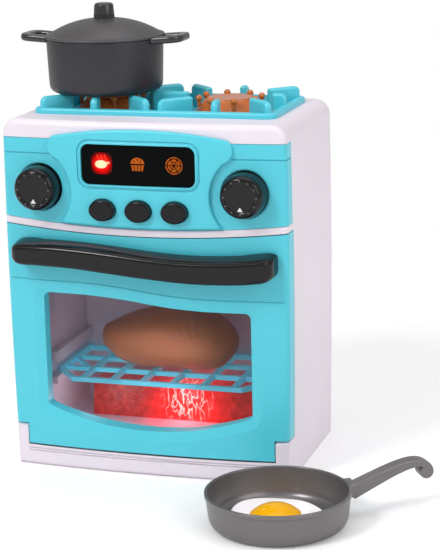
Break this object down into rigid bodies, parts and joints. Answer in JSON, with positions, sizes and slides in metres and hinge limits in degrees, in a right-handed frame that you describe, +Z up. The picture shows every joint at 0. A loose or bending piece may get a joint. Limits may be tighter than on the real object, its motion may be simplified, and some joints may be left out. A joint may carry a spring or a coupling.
{
  "type": "toy oven",
  "caption": "Toy oven with a hinged window door, turning knobs, push buttons, a hob with a lidded pot, a roast on a rack, and a frying pan with an egg beside it.",
  "frame": {"origin": "middle of the underside of the oven's case, between its front corners and its back", "axes": "+Z up, the door and the panel look along -Y, +X to the right of someone facing them"},
  "size_m": [0.2881, 0.2254, 0.3003],
  "materials": {
    "white_plastic": "satin moulded",
    "turquoise_plastic": "glossy moulded",
    "dark_plastic": "satin moulded",
    "black_plastic": "matt moulded",
    "button_plastic": "satin moulded",
    "clear_pane": "clear",
    "display_pane": "smoked red",
    "board": "lacquered",
    "lamp_plastic": "clear tinted",
    "plated_steel": "plated",
    "battery_case": "satin",
    "speaker_cone": "pressed paper",
    "liner_plastic": "satin moulded",
    "burner_plastic": "translucent",
    "fire_plastic": "hammered, translucent",
    "rack_plastic": "glossy moulded",
    "roast_plastic": "moulded skin",
    "pot_plastic": "satin, metallic flecks",
    "pan_plastic": "satin, metallic flecks",
    "egg_white_plastic": "glossy",
    "egg_yolk_plastic": "glossy"
  },
  "bodies": {
    "cabinet": {"front_housing": "white_plastic", "back_cover": "white_plastic", "battery_lid": "white_plastic", "batteries": "battery_case", "battery_contacts": "plated_steel", "speaker": "speaker_cone", "power_switch": "black_plastic", "housing_screws": "plated_steel", "battery_lid_screw": "plated_steel", "oven_liner": "liner_plastic", "control_panel": "turquoise_plastic", "display_window": "display_pane", "circuit_board": "board", "display_lamps": "lamp_plastic", "button_switches": "black_plastic", "hinge_pins": "plated_steel", "hob_tray": "turquoise_plastic", "burner_left": "burner_plastic", "burner_right": "burner_plastic", "burner_lamps": "lamp_plastic", "fire_box": "fire_plastic", "fire_lamps": "lamp_plastic"},
    "door": {"door_panel": "turquoise_plastic", "door_window": "clear_pane", "door_handle": "dark_plastic", "handle_screws": "plated_steel"},
    "knob_left": {"knob_left": "dark_plastic", "knob_screw_left": "plated_steel"},
    "knob_right": {"knob_right": "dark_plastic", "knob_screw_right": "plated_steel"},
    "button_left": {"button_left": "button_plastic"},
    "button_middle": {"button_middle": "button_plastic"},
    "button_right": {"button_right": "button_plastic"},
    "switch": {"switch_slider": "black_plastic"},
    "rack": {"oven_rack": "rack_plastic"},
    "roast": {"roast_chicken": "roast_plastic"},
    "pot": {"pot_body": "pot_plastic"},
    "lid": {"pot_lid": "pot_plastic", "lid_knob": "dark_plastic"},
    "pan": {"pan_bowl": "pan_plastic", "pan_handle": "pan_plastic"},
    "egg": {"egg_white": "egg_white_plastic", "egg_yolk": "egg_yolk_plastic"}
  },
  "joints": [
    {"name": "door_hinge", "type": "hinge", "parent": "cabinet", "child": "door", "pos_m": [0, -0.054, 0.0215], "axis": [1, 0, 0], "range_deg": [0, 70]},
    {"name": "knob_left_turn", "type": "hinge", "parent": "cabinet", "child": "knob_left", "pos_m": [-0.0685, -0.06, 0.1893], "axis": [0, -1, 0], "continuous": true},
    {"name": "knob_right_turn", "type": "hinge", "parent": "cabinet", "child": "knob_right", "pos_m": [0.0685, -0.06, 0.1893], "axis": [0, -1, 0], "continuous": true},
    {"name": "button_left_push", "type": "slide", "parent": "cabinet", "child": "button_left", "axis": [0, 1, 0], "range_m": [0, 0.002], "stiffness_N_per_m": 150},
    {"name": "button_middle_push", "type": "slide", "parent": "cabinet", "child": "button_middle", "axis": [0, 1, 0], "range_m": [0, 0.002], "stiffness_N_per_m": 150},
    {"name": "button_right_push", "type": "slide", "parent": "cabinet", "child": "button_right", "axis": [0, 1, 0], "range_m": [0, 0.002], "stiffness_N_per_m": 150},
    {"name": "switch_slide", "type": "slide", "parent": "cabinet", "child": "switch", "axis": [1, 0, 0], "range_m": [0, 0.004]},
    {"name": "rack_slide", "type": "slide", "parent": "cabinet", "child": "rack", "axis": [0, -1, 0], "range_m": [0, 0.003]},
    {"name": "roast_lift", "type": "slide", "parent": "rack", "child": "roast", "axis": [0, 0, 1], "range_m": [0, 0.008]},
    {"name": "pot_lift", "type": "slide", "parent": "cabinet", "child": "pot", "axis": [0, 0, 1], "range_m": [0, 0.06]},
    {"name": "lid_lift", "type": "slide", "parent": "pot", "child": "lid", "axis": [0, 0, 1], "range_m": [0, 0.04]},
    {"name": "pan_slide", "type": "slide", "parent": "cabinet", "child": "pan", "axis": [1, 0, 0], "range_m": [0, 0.06]},
    {"name": "egg_lift", "type": "slide", "parent": "pan", "child": "egg", "axis": [0, 0, 1], "range_m": [0, 0.012]}
  ]
}
